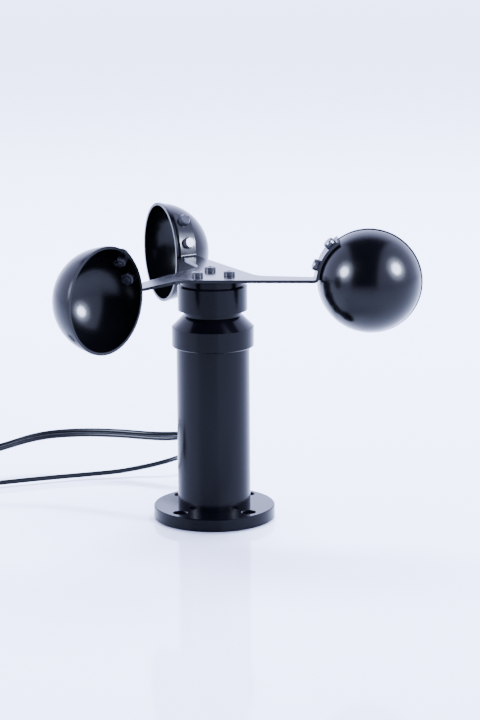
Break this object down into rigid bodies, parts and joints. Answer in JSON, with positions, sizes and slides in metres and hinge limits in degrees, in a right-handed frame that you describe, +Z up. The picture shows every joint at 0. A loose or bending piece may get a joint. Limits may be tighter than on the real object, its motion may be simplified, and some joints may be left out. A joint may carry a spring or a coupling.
{
  "type": "cup anemometer",
  "caption": "Cup anemometer: hemispherical cups on a flat spider plate turn on a ball-bearing head above a slim tube with a bolted round flange and a signal cable.",
  "frame": {"origin": "centre of the bolt circle in the flange's underside, on the rotor axis", "axes": "+Z up along the rotor axis, +X through the centre of the first cup at rest"},
  "size_m": [0.2733, 0.1889, 0.1479],
  "materials": {
    "black_anodised": "satin black anodised, fine turned grain",
    "black_paint": "semi gloss black paint",
    "gloss_black": "high gloss black",
    "black_steel": "black oxide, semi gloss",
    "plain_steel": "bright zinc",
    "bearing_steel": "polished",
    "brass": "machined",
    "rubber": "matte",
    "black_plastic": "moulded",
    "circuit_board": "solder mask",
    "green_plastic": "moulded",
    "cable_jacket": "satin soft vinyl",
    "core_wire": "insulated cores"
  },
  "bodies": {
    "housing": {"base_flange": "black_anodised", "base_cover": "black_plastic", "cover_gasket": "rubber", "cover_screws": "plain_steel", "body_tube": "black_anodised", "tube_seal_lower": "rubber", "tube_seal_upper": "rubber", "bearing_collar": "black_anodised", "bearing_outer_upper": "bearing_steel", "bearing_outer_lower": "bearing_steel", "housing_circlip": "plain_steel", "board_pillars": "brass", "sensor_board": "circuit_board", "board_screws": "plain_steel", "hall_sensor": "black_plastic", "board_components": "black_plastic", "terminal_header": "green_plastic", "inner_lead": "cable_jacket", "lead_cores": "core_wire", "gland_body": "black_plastic", "gland_washer": "rubber", "gland_locknut": "black_plastic", "gland_seal": "rubber", "gland_cap": "black_plastic", "cable_run": "cable_jacket", "cable_coil": "cable_jacket", "coil_tie": "black_plastic", "cable_tail": "cable_jacket", "cable_sleeve": "cable_jacket", "cable_cores": "core_wire"},
    "rotor": {"rotor_shaft": "plain_steel", "hub": "black_anodised", "hub_washer": "plain_steel", "hub_bolt": "plain_steel", "spider_plate": "black_paint", "hub_screws": "black_steel", "cup_1": "gloss_black", "cup_2": "gloss_black", "cup_3": "gloss_black", "cup_screws_1": "black_steel", "cup_screws_2": "black_steel", "cup_screws_3": "black_steel", "cup_nuts_1": "black_steel", "cup_nuts_2": "black_steel", "cup_nuts_3": "black_steel", "bearing_inner_upper": "bearing_steel", "bearing_inner_lower": "bearing_steel", "inner_spacer": "plain_steel", "shaft_circlip": "plain_steel", "magnet_carrier": "black_plastic", "magnets": "plain_steel", "grub_screw": "plain_steel"},
    "upper_balls": {"balls_upper": "bearing_steel", "cage_upper": "brass"},
    "lower_balls": {"balls_lower": "bearing_steel", "cage_lower": "brass"}
  },
  "joints": [
    {"name": "rotor_spin", "type": "hinge", "parent": "housing", "child": "rotor", "pos_m": [0, 0, 0.107], "axis": [0, 0, 1], "continuous": true},
    {"name": "upper_cage_spin", "type": "hinge", "parent": "housing", "child": "upper_balls", "pos_m": [0, 0, 0.107], "axis": [0, 0, 1], "continuous": true},
    {"name": "lower_cage_spin", "type": "hinge", "parent": "housing", "child": "lower_balls", "pos_m": [0, 0, 0.0815], "axis": [0, 0, 1], "continuous": true}
  ],
  "couplings": [
    {"joint": "upper_cage_spin", "follows": "rotor_spin", "ratio": 0.3488},
    {"joint": "lower_cage_spin", "follows": "rotor_spin", "ratio": 0.3488}
  ]
}
